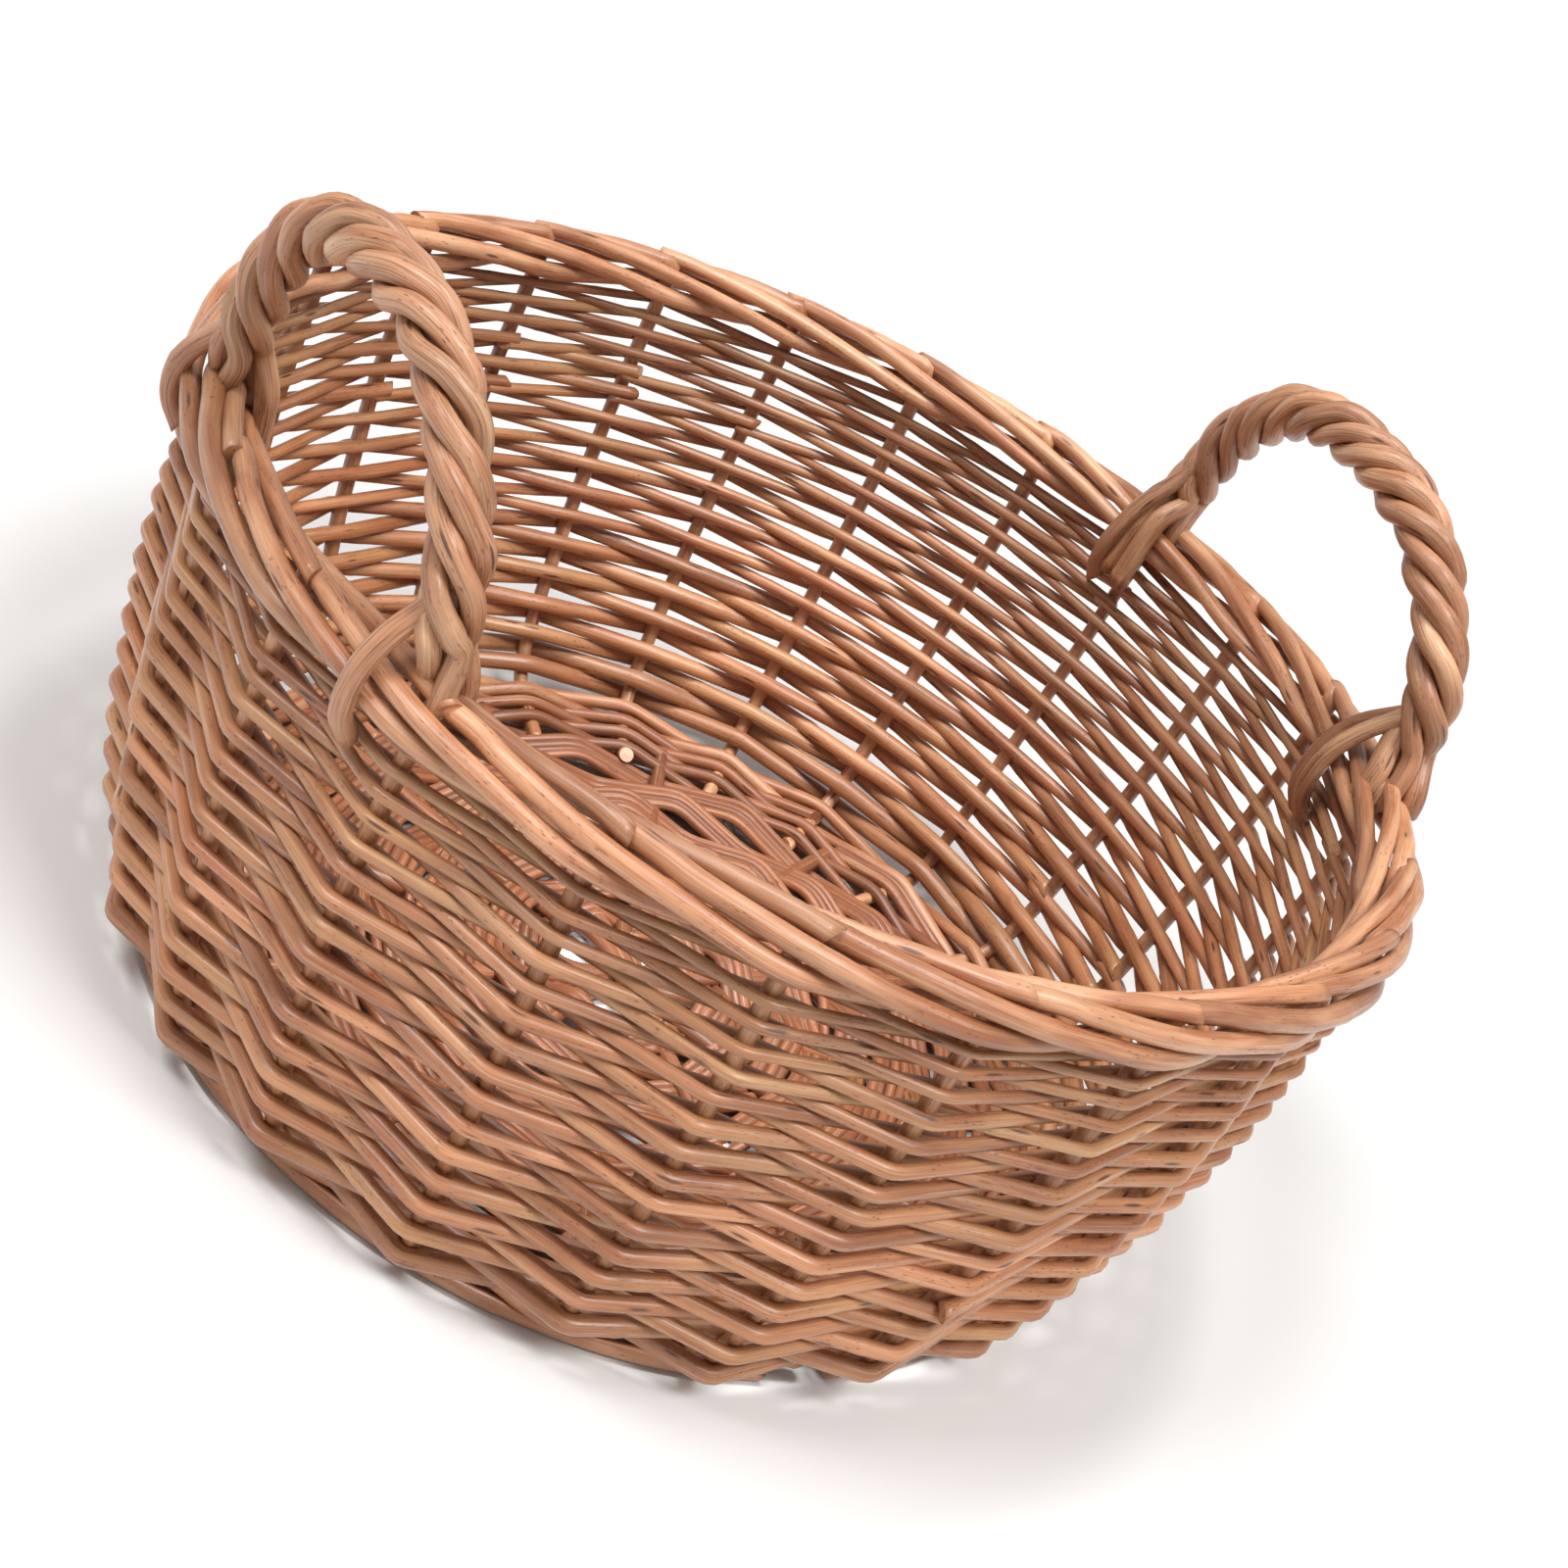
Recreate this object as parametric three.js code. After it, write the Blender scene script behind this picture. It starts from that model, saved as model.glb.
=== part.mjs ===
// Round fruit basket of peeled willow rods, with a rolled border and two roped handles.
// Millimetres, +Z up. The origin is on the ground under the middle of the basket,
// and the handles stand near +X and -X.
import * as THREE from "three";

// Wall and rim
const STAKE_COUNT = 23;
const RIM_RADIUS = 149.5; // stake centre line at the border
const RIM_HEIGHT = 135; // middle of the border above the ground
const BASE_LEVEL = 5.3; // height of the base's middle
const GAP = 0.45; // clearance between rods that touch

// The stakes' centre line from the edge of the base to the border: radius and height
const WALL_PROFILE = [
  [118, BASE_LEVEL],
  [126, 6.8],
  [131.5, 11],
  [135.3, 18],
  [139, 31],
  [144.5, 58],
  [148.5, 91],
  [RIM_RADIUS, 119],
  [RIM_RADIUS, RIM_HEIGHT],
];

// Rods
const STAKE_DIAMETER = 4.3;
const LOW_WEAVER_DIAMETER = 4.6;
const BASE_WEAVER_DIAMETER = 2.2;
const FOOT_DIAMETER = 4.2;
const STAKE_SIDES = 6;
const WEAVER_SIDES = 5;

// Side weave: one row is one turn round the wall, and rows get closer towards the rim
const LOW_WEAVER_COUNT = 4;
const LOW_WEAVER_SPAN = 24; // bays that a weaver passes
const HIGH_WEAVER_COUNT = 9;
const HIGH_WEAVER_SPAN = 66;
const FIRST_ROW = 12.5; // length of the profile below the first row
const ROW_PITCH = 5.45;
const ROW_PITCH_LOSS = 0.0509; // per turn, twice
const END_SETBACK = 0.12; // of a bay, at each end of a weaver

// Base
const STICKS_EACH_WAY = 3;
const STICK_DIAMETER = 3.8;
const STICK_REACH = 101;
const CROSS_HALF = 13; // half the length on which the sticks lie side by side
const CROSS_SPACING = 4.4;
const FAN_RADIUS = 34; // where the sticks reach their own directions
const BASE_WEAVER_COUNT = 3;
const BASE_TURNS = 4; // turns in each base weaver
const BASE_WEAVE_START = 38;
const BASE_WEAVE_PITCH = 5.2;
const STAKE_BUTT_RADIUS = 103; // inner end of each stake, in the base
const EDGE_WEAVE_START = 106;
const EDGE_WEAVE_PITCH = 4;
const EDGE_TURNS = 3;
const FOOT_RADIUS = 127.5;

// Border: offsets from the middle of the border, outwards and up, in stake spacings
const BORDER_SPACING = 4.75;
const BORDER_ROUTE = [
  { bay: 0.12, out: 0.05, up: 1.1 },
  { bay: 0.5, out: 0.55, up: 0.9 },
  { bay: 1, out: 1.05, up: 0.55 },
  { bay: 1.5, out: 1.1, up: 0 },
  { bay: 2, out: 1.1, up: -0.55 },
  { bay: 2.5, out: 0, up: -0.75 },
  { bay: 3, out: -1.1, up: -0.6 },
  { bay: 3.5, out: -1.1, up: -0.05 },
  { bay: 4, out: -1.1, up: 0.5 },
  { bay: 4.5, out: -0.6, up: 0.9 },
  { bay: 4.85, out: -0.1, up: 1.2 },
];

// Handles: centre and half span in bays from the front stake, heights and lean outwards
const HANDLES = [
  { side: "right", centre: 5.6, halfSpan: 1.4, radius: 146, lean: -11 },
  { side: "left", centre: -5.4, halfSpan: 1.2, radius: 140, lean: 9 },
];
const HANDLE_FOOT_HEIGHT = 143.5;
const HANDLE_RISE = 56;
const HANDLE_SHOULDER = 0.85; // power that squares the arch's shoulders
const CORE_DIAMETER = 5;
const STRAND_DIAMETER = 4.2;
const STRAND_COUNT = 3;
const STRAND_TURNS = 2.2;
const STRAND_STEPS = 24;
const CORE_STEPS = 16;
const TIE_DIAMETER = 3.4;
const TIE_FROM_FOOT = 0.3; // bays from the foot to its tie, towards the handle's middle
const TIE_HALF_WIDTH = 9.6;
const TIE_HALF_HEIGHT = 9;
const TIE_CORNER = 3.1;
const TIE_OPENING = 2; // half the gap left at the top of a tie
const BORDER_MIDDLE = 136.1; // middle height of a tie's loop

const BAY = (2 * Math.PI) / STAKE_COUNT;
const FRONT = -Math.PI / 2;
// Lengths along the profile at which a stake is drawn, closer together round the bend
const STAKE_STATIONS = [0, 4, 8, 12, 16, 20, 25, 32, 42, 56, 74, 94, 114, 134];

// A path through listed points, sampled exactly on them.
class RodPath extends THREE.Curve {
  constructor(points) {
    super();
    this.points = points;
  }
  getPoint(t, target = new THREE.Vector3()) {
    const last = this.points.length - 1;
    const place = Math.min(Math.max(t, 0), 1) * last;
    const i = Math.min(Math.floor(place + 1e-6), last - 1);
    return target.lerpVectors(this.points[i], this.points[i + 1], place - i);
  }
  getPointAt(t, target) {
    return this.getPoint(t, target);
  }
  getTangent(t, target = new THREE.Vector3()) {
    const last = this.points.length - 1;
    const i = Math.round(Math.min(Math.max(t, 0), 1) * last);
    const here = this.points[i];
    const ahead = this.points[Math.min(i + 1, last)].clone().sub(here).normalize();
    const behind = here.clone().sub(this.points[Math.max(i - 1, 0)]).normalize();
    return target.addVectors(ahead, behind).normalize();
  }
  getTangentAt(t, target) {
    return this.getTangent(t, target);
  }
}

// A regular polygon with a flat side towards +x, inside a circle of the rod's diameter.
function rodSection(diameter, sides) {
  const corners = [];
  for (let i = 0; i < sides; i++) {
    const a = ((i + 0.5) / sides) * 2 * Math.PI;
    corners.push(new THREE.Vector2(Math.cos(a), Math.sin(a)).multiplyScalar(diameter / 2));
  }
  return new THREE.Shape(corners);
}

function rod(name, points, diameter, sides, look) {
  const geometry = new THREE.ExtrudeGeometry(rodSection(diameter, sides), {
    steps: points.length - 1,
    extrudePath: new RodPath(points),
  });
  const material = new THREE.MeshStandardMaterial({
    color: look.color,
    roughness: look.roughness,
    metalness: 0,
  });
  const mesh = new THREE.Mesh(geometry, material);
  mesh.name = name;
  return mesh;
}

const PEELED_WILLOW = { color: 0xc98d66, roughness: 0.45 };
const STAKE_WILLOW = { color: 0xc2825a, roughness: 0.45 };
const HANDLE_WILLOW = { color: 0xb9835a, roughness: 0.55 };
const BASE_WILLOW = { color: 0xa9714c, roughness: 0.6 };

// The point at an angle of so many bays from the front stake.
function at(bay, radius, height) {
  const a = FRONT + bay * BAY;
  return new THREE.Vector3(radius * Math.cos(a), radius * Math.sin(a), height);
}

const profile = new THREE.SplineCurve(WALL_PROFILE.map(([r, h]) => new THREE.Vector2(r, h)));
const PROFILE_LENGTH = profile.getLength();

// The point of the wall at a bay and a length along the profile, moved outwards squarely.
function onWall(bay, length, outwards) {
  const share = length / PROFILE_LENGTH;
  const middle = profile.getPointAt(share);
  const tangent = profile.getTangentAt(share);
  return at(bay, middle.x + tangent.y * outwards, middle.y - tangent.x * outwards);
}

const two = (n) => String(n).padStart(2, "0");

// A stake: butt in the base, bend, wall, elbow at the top of the border, and its stroke
// down the outside, under, up the inside and over the top of the border.
function stake(index) {
  const points = [at(index, STAKE_BUTT_RADIUS, BASE_LEVEL)];
  for (const station of STAKE_STATIONS) points.push(onWall(index, station, 0));
  points.push(at(index + 0.02, RIM_RADIUS, RIM_HEIGHT + 0.75 * BORDER_SPACING));
  for (const step of BORDER_ROUTE) {
    const radius = RIM_RADIUS + step.out * BORDER_SPACING;
    points.push(at(index + step.bay, radius, RIM_HEIGHT + step.up * BORDER_SPACING));
  }
  return rod("stake_" + two(index + 1), points, STAKE_DIAMETER, STAKE_SIDES, STAKE_WILLOW);
}

// Length along the profile up to a row.
function rowPlace(turn) {
  return FIRST_ROW + ROW_PITCH * turn - ROW_PITCH_LOSS * turn * turn;
}

// A wall weaver climbs round the stakes, outside one and inside the next.
function weaver(index, first, last) {
  const topPitch = ROW_PITCH - (2 * ROW_PITCH_LOSS * last) / STAKE_COUNT;
  const diameter = Math.min(LOW_WEAVER_DIAMETER, topPitch - GAP);
  const offset = (STAKE_DIAMETER + diameter) / 2 + GAP;
  const points = [];
  for (let k = first; k <= last; k++) {
    const side = k % 2 === 0 ? 1 : -1;
    points.push(onWall(k, rowPlace(k / STAKE_COUNT), side * offset));
  }
  points[0].lerp(points[1], END_SETBACK);
  points[points.length - 1].lerp(points[points.length - 2], END_SETBACK);
  return rod("wall_weaver_" + two(index + 1), points, diameter, WEAVER_SIDES, PEELED_WILLOW);
}

function wallWeavers() {
  const weavers = [];
  let first = 0;
  for (let i = 0; i < LOW_WEAVER_COUNT + HIGH_WEAVER_COUNT; i++) {
    const last = first + (i < LOW_WEAVER_COUNT ? LOW_WEAVER_SPAN : HIGH_WEAVER_SPAN);
    weavers.push(weaver(i, first, last));
    first = last;
  }
  return weavers;
}

// A base stick lies in the middle cross and fans out at both ends to its own spoke.
function baseStick(across, index) {
  const lane = index - (STICKS_EACH_WAY - 1) / 2;
  const fan = (lane * Math.PI) / (2 * STICKS_EACH_WAY);
  const rise = (across ? 1 : -1) * (CROSS_SPACING / 2);
  const end = (side, radius, height) =>
    new THREE.Vector3(side * radius * Math.cos(fan), radius * Math.sin(fan), height);
  const points = [
    end(-1, STICK_REACH, BASE_LEVEL),
    end(-1, FAN_RADIUS, BASE_LEVEL),
    new THREE.Vector3(-CROSS_HALF, lane * CROSS_SPACING, BASE_LEVEL + rise),
    new THREE.Vector3(CROSS_HALF, lane * CROSS_SPACING, BASE_LEVEL + rise),
    end(1, FAN_RADIUS, BASE_LEVEL),
    end(1, STICK_REACH, BASE_LEVEL),
  ];
  const name = "base_stick_" + (across ? "across_" : "along_") + (index + 1);
  const mesh = rod(name, points, STICK_DIAMETER, STAKE_SIDES, BASE_WILLOW);
  mesh.rotation.z = across ? Math.PI / 2 : 0;
  return mesh;
}

// A base weaver spirals outwards, over one spoke and under the next. The number of spokes
// is even, so it passes two spokes on one side once in each turn.
function baseWeaver(index) {
  const spokes = 4 * STICKS_EACH_WAY;
  const offset = (STICK_DIAMETER + BASE_WEAVER_DIAMETER) / 2 + GAP;
  const points = [];
  for (let k = 0; k <= spokes * BASE_TURNS; k++) {
    const step = k + index * spokes * BASE_TURNS;
    const radius = BASE_WEAVE_START + (BASE_WEAVE_PITCH * step) / spokes;
    const side = (step + Math.floor(step / spokes)) % 2 === 0 ? 1 : -1;
    const a = (2 * Math.PI * step) / spokes;
    const height = BASE_LEVEL + side * offset;
    points.push(new THREE.Vector3(radius * Math.cos(a), radius * Math.sin(a), height));
  }
  points[0].lerp(points[1], END_SETBACK);
  points[points.length - 1].lerp(points[points.length - 2], END_SETBACK);
  const name = "base_weaver_" + (index + 1);
  return rod(name, points, BASE_WEAVER_DIAMETER, WEAVER_SIDES, BASE_WILLOW);
}

// The outermost base rows go over and under the stakes' butts.
function edgeWeaver() {
  const offset = (STAKE_DIAMETER + BASE_WEAVER_DIAMETER) / 2 + GAP;
  const points = [];
  for (let k = 0; k <= STAKE_COUNT * EDGE_TURNS; k++) {
    const radius = EDGE_WEAVE_START + (EDGE_WEAVE_PITCH * k) / STAKE_COUNT;
    const side = k % 2 === 0 ? 1 : -1;
    points.push(at(k, radius, BASE_LEVEL + side * offset));
  }
  return rod("base_edge_weaver", points, BASE_WEAVER_DIAMETER, WEAVER_SIDES, BASE_WILLOW);
}

// The basket rests on one rod laid round under the bends of the stakes. Its ends meet.
function footRod() {
  const steps = 2 * STAKE_COUNT;
  const height = (FOOT_DIAMETER / 2) * Math.cos(Math.PI / STAKE_SIDES);
  const points = [];
  for (let k = 0; k <= steps; k++) points.push(at(k / 2, FOOT_RADIUS, height));
  points[0].lerp(points[1], END_SETBACK);
  points[steps].lerp(points[steps - 1], END_SETBACK);
  return rod("foot_rod", points, FOOT_DIAMETER, STAKE_SIDES, STAKE_WILLOW);
}

// The arch that a handle's core follows, with the directions across and outwards.
function handleArch({ centre, halfSpan, radius, lean }) {
  const out = at(centre, 1, 0).normalize();
  const along = new THREE.Vector3(-out.y, out.x, 0);
  const tilt = THREE.MathUtils.degToRad(lean);
  const up = new THREE.Vector3(0, 0, Math.cos(tilt)).addScaledVector(out, Math.sin(tilt));
  const half = radius * halfSpan * BAY;
  const middle = out.clone().multiplyScalar(radius);
  middle.z = HANDLE_FOOT_HEIGHT;
  const points = [];
  const knots = 12;
  for (let i = 0; i <= knots; i++) {
    const a = (Math.PI * i) / knots;
    const reach = Math.sign(Math.cos(a)) * Math.abs(Math.cos(a)) ** HANDLE_SHOULDER;
    points.push(
      middle
        .clone()
        .addScaledVector(along, -half * reach)
        .addScaledVector(up, HANDLE_RISE * Math.sin(a)),
    );
  }
  const face = new THREE.Vector3().crossVectors(along, up).normalize();
  return { curve: new THREE.CatmullRomCurve3(points), face };
}

function handleCore(handle) {
  const { curve } = handleArch(handle);
  const points = curve.getSpacedPoints(CORE_STEPS);
  const name = "handle_" + handle.side + "_core";
  return rod(name, points, CORE_DIAMETER, STAKE_SIDES, HANDLE_WILLOW);
}

// A strand is wound round the core from foot to foot.
function handleStrand(handle, index) {
  const { curve, face } = handleArch(handle);
  const offset = (CORE_DIAMETER + STRAND_DIAMETER) / 2 + GAP;
  const points = [];
  for (let i = 0; i <= STRAND_STEPS; i++) {
    const share = i / STRAND_STEPS;
    const inwards = new THREE.Vector3().crossVectors(face, curve.getTangentAt(share));
    const turn = 2 * Math.PI * (STRAND_TURNS * share + index / STRAND_COUNT);
    points.push(
      curve
        .getPointAt(share)
        .addScaledVector(face, offset * Math.cos(turn))
        .addScaledVector(inwards, offset * Math.sin(turn)),
    );
  }
  const name = "handle_" + handle.side + "_strand_" + (index + 1);
  return rod(name, points, STRAND_DIAMETER, WEAVER_SIDES, HANDLE_WILLOW);
}

// A tie binds one foot of a handle to the border: a loop round the border, open on top.
function handleTie(handle, foot) {
  const direction = foot === "front" ? 1 : -1;
  const near = handle.side === "right" ? -direction : direction;
  const bay = handle.centre + near * (handle.halfSpan - TIE_FROM_FOOT);
  const w = TIE_HALF_WIDTH;
  const h = TIE_HALF_HEIGHT;
  const outline = [
    [-TIE_OPENING, h],
    [TIE_CORNER - w, h],
    [-w, h - TIE_CORNER],
    [-w, TIE_CORNER - h],
    [TIE_CORNER - w, -h],
    [w - TIE_CORNER, -h],
    [w, TIE_CORNER - h],
    [w, h - TIE_CORNER],
    [w - TIE_CORNER, h],
    [TIE_OPENING, h],
  ];
  const points = outline.map(([out, up]) => at(bay, RIM_RADIUS + out, BORDER_MIDDLE + up));
  const name = "handle_" + handle.side + "_tie_" + foot;
  return rod(name, points, TIE_DIAMETER, WEAVER_SIDES, HANDLE_WILLOW);
}

const basket = new THREE.Group();
basket.add(footRod());
for (let i = 0; i < STICKS_EACH_WAY; i++) {
  basket.add(baseStick(false, i));
  basket.add(baseStick(true, i));
}
for (let i = 0; i < BASE_WEAVER_COUNT; i++) basket.add(baseWeaver(i));
basket.add(edgeWeaver());
for (let i = 0; i < STAKE_COUNT; i++) basket.add(stake(i));
basket.add(...wallWeavers());
for (const handle of HANDLES) {
  basket.add(handleCore(handle));
  for (let i = 0; i < STRAND_COUNT; i++) basket.add(handleStrand(handle, i));
  basket.add(handleTie(handle, "front"));
  basket.add(handleTie(handle, "rear"));
}

export default basket;
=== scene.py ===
"""Round fruit basket of peeled willow: the looks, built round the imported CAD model.

Lengths are in millimetres until mesh_of() turns them into metres. A place on the wall is given
by its bay (stakes counted anticlockwise from the front one), its radius and its height.
"""
import math
from itertools import permutations

import bpy
import numpy as np
from mathutils import Matrix, Vector


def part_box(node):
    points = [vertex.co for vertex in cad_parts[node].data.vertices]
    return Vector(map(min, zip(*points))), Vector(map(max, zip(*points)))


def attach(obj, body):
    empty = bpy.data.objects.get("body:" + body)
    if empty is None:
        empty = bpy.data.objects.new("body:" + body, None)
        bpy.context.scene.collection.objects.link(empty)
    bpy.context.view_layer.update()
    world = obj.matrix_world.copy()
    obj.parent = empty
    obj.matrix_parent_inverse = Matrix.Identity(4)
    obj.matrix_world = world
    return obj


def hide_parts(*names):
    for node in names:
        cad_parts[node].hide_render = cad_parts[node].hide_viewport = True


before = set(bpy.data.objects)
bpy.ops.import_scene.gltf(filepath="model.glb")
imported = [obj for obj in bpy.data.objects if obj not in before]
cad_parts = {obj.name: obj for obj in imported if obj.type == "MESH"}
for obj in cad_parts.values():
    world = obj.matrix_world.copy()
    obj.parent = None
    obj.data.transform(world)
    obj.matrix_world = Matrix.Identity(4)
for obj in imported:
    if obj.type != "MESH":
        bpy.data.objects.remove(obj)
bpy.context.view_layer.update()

MM = 0.001


def extent(node):
    """A node's lowest and highest corners, in millimetres."""
    low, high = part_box(node)
    return np.array(low) / MM, np.array(high) / MM


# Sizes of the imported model: its boxes give the first two heights and radii
STAKES = 23
BAY = 2 * math.pi / STAKES
FRONT = -math.pi / 2
BORDER_HALF_HEIGHT = 8.0
RIM_HEIGHT = extent("stake_01")[1][2] - BORDER_HALF_HEIGHT  # middle of the border
CAD_FOOT_THICKNESS = 4.2
FOOT_RADIUS = extent("foot_rod")[1][0] - CAD_FOOT_THICKNESS / 2
RIM_RADIUS = 149.5  # stake centre lines at the border
BASE_LEVEL = 5.3

# The stakes' centre line from the edge of the base to the border: radius and height
WALL_PROFILE = [
    (118.0, BASE_LEVEL), (126.0, 6.8), (131.5, 11.0), (135.3, 18.0), (139.0, 31.0), (144.5, 58.0),
    (148.5, 91.0), (RIM_RADIUS, 119.0), (RIM_RADIUS, RIM_HEIGHT),
]

# Rods
STAKE_THICKNESS = 4.3
BORDER_THICKNESS = 4.9
BORDER_SPACING = 4.9

# Side weave: bays that each CAD weaver passes, the rods laid end to end in such a span, and
# the rows' places along the profile
LOW_SPAN = 24
HIGH_SPAN = 66
WEAVER_SPANS = [LOW_SPAN] * 4 + [HIGH_SPAN] * 9
RODS_IN_SPAN = {LOW_SPAN: 1, HIGH_SPAN: 3}
FIRST_ROW = 12.5
ROW_PITCH = 5.45
ROW_PITCH_LOSS = 0.0462
WEAVER_FULLNESS = 0.92  # a weaver's mean thickness, in row pitches

# Base
SPOKES = 12
STICK_THICKNESS = 4.4
STICK_REACH = 113.0
EDGE_RADII = (105.6, 109.4, 113.0, 116.6, 120.2)
EDGE_THICKNESS = 3.6
SLEW_RODS = 4  # thin rods that are woven side by side
SLEW_THICKNESS = 3.0
SLEW_PITCH = 2.55
SLEWS = ((22.0, 2), (42.6, 3), (73.4, 3))  # each base weaver's first radius and number of slews


def at(bay, radius, height):
    """Points round the basket's axis."""
    a = FRONT + np.asarray(bay, float) * BAY
    radius = np.broadcast_to(radius, a.shape)
    height = np.broadcast_to(height, a.shape)
    return np.stack([radius * np.cos(a), radius * np.sin(a), height], -1)


def row_place(turn):
    """Length along the profile up to a row."""
    return FIRST_ROW + ROW_PITCH * turn - ROW_PITCH_LOSS * turn * turn


def row_pitch(turn):
    """Distance along the profile from one row to the next."""
    return ROW_PITCH - 2 * ROW_PITCH_LOSS * turn


# ---------------------------------------------------------------- rods


def lengths_along(points):
    return np.concatenate([[0], np.cumsum(np.linalg.norm(np.diff(points, axis=0), axis=1))])


def resampled(points, step):
    s = lengths_along(points)
    count = max(2, int(round(s[-1] / step)) + 1)
    t = np.linspace(0, s[-1], count)
    return np.stack([np.interp(t, s, points[:, i]) for i in range(3)], -1)


def rounded(points, reach, step):
    """The polyline with each corner turned into a short curve, evenly sampled."""
    points = np.asarray(points, float)
    out = [points[:1]]
    t = np.linspace(0, 1, 7)[:, None]
    for before, here, after in zip(points[:-2], points[1:-1], points[2:]):
        back, on = before - here, after - here
        a, b = np.linalg.norm(back), np.linalg.norm(on)
        start = here + back / a * min(reach, 0.45 * a)
        end = here + on / b * min(reach, 0.45 * b)
        out.append((1 - t) ** 2 * start + 2 * t * (1 - t) * here + t**2 * end)
    out.append(points[-1:])
    return resampled(np.concatenate(out), step)


def smooth_curve(points, step):
    """A Catmull-Rom curve through the points, evenly sampled."""
    p = np.asarray(points, float)
    p = np.concatenate([2 * p[:1] - p[1:2], p, 2 * p[-1:] - p[-2:-1]])
    t = np.linspace(0, 1, 12, endpoint=False)[:, None]
    out = []
    for a, b, c, d in zip(p[:-3], p[1:-2], p[2:-1], p[3:]):
        square = 2 * a - 5 * b + 4 * c - d
        cube = 3 * b - a - 3 * c + d
        out.append(0.5 * (2 * b + (c - a) * t + square * t**2 + cube * t**3))
    out.append(p[-2:-1])
    return resampled(np.concatenate(out), step)


PROFILE = smooth_curve([(r, 0.0, h) for r, h in WALL_PROFILE], 0.5)[:, (0, 2)]
PROFILE_LENGTHS = lengths_along(PROFILE)
PROFILE_SLOPES = np.gradient(PROFILE, PROFILE_LENGTHS, axis=0)


def on_wall(bay, length, outwards=0.0):
    """The point of the wall at a bay and a length along the profile, moved outwards squarely."""
    r, h = (np.interp(length, PROFILE_LENGTHS, PROFILE[:, i]) for i in (0, 1))
    across, up = (np.interp(length, PROFILE_LENGTHS, PROFILE_SLOPES[:, i]) for i in (0, 1))
    return at(bay, r + up * outwards, h - across * outwards)


# No stake stands quite even: how far each leans at its foot and bows half-way, in bays
LEANS = np.random.default_rng(41).normal(0, 0.035, (STAKES, 2))


def stake_bay(k, length):
    """Where stake k really stands at a length along the profile, in bays."""
    k = np.asarray(k)
    share = np.asarray(length, float) / PROFILE_LENGTHS[-1]
    lean, bow = LEANS[k % STAKES, 0], LEANS[k % STAKES, 1]
    return k + lean * (1 - share) + 0.6 * bow * np.sin(math.pi * share)


def gentle_noise(s, wave, rng):
    """A smooth random function of length, about -1 to 1: three waves, each finer and weaker."""
    total = np.zeros_like(s)
    for octave in range(3):
        phase = rng.uniform(0, 2 * math.pi)
        period = wave * rng.uniform(0.7, 1.4) / 1.9**octave
        total += np.sin(2 * math.pi * s / period + phase) / 1.6**octave
    return total / 2


class Rod:
    """One willow rod: its path, its radius along it, and what sets its look apart."""

    def __init__(self, path, thickness, rng, taper=0.0, sides=10, cut=(0.5, 0.5), knots=45.0):
        self.path = path
        self.sides = sides
        self.cut = cut  # slant of the two cut ends, as a share of the radius
        self.s = lengths_along(path)
        share = self.s / self.s[-1]
        r = 0.5 * thickness * (1 + taper * (0.5 - share))
        r = r * (1 + 0.03 * gentle_noise(self.s, 60, rng))
        place = rng.uniform(5, knots)
        while place < self.s[-1]:  # a slight swelling at each knot
            height = rng.uniform(0.03, 0.10)
            r = r * (1 + height * np.exp(-(((self.s - place) / rng.uniform(1.2, 2.2)) ** 2)))
            place += rng.uniform(0.5, 1.5) * knots
        self.r = r
        self.offset = rng.uniform(0, 5000)  # where it starts in the material's pattern
        self.tone = (rng.uniform(0, 1), rng.uniform(0, 1), rng.uniform(0, 1))
        self.squash = rng.uniform(0.93, 1.0)
        self.roll = rng.uniform(0, 2 * math.pi)


def frames_of(path):
    """Tangents and two normals along a path, without twist."""
    tangent = np.gradient(path, axis=0)
    tangent /= np.linalg.norm(tangent, axis=1)[:, None]
    side = np.empty_like(path)
    start = np.cross(tangent[0], [0, 0, 1.0])
    if np.linalg.norm(start) < 0.2:
        start = np.cross(tangent[0], [1.0, 0, 0])
    side[0] = start / np.linalg.norm(start)
    for i in range(1, len(path)):
        v = side[i - 1] - tangent[i] * np.dot(side[i - 1], tangent[i])
        side[i] = v / np.linalg.norm(v)
    return tangent, side, np.cross(tangent, side)


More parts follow.
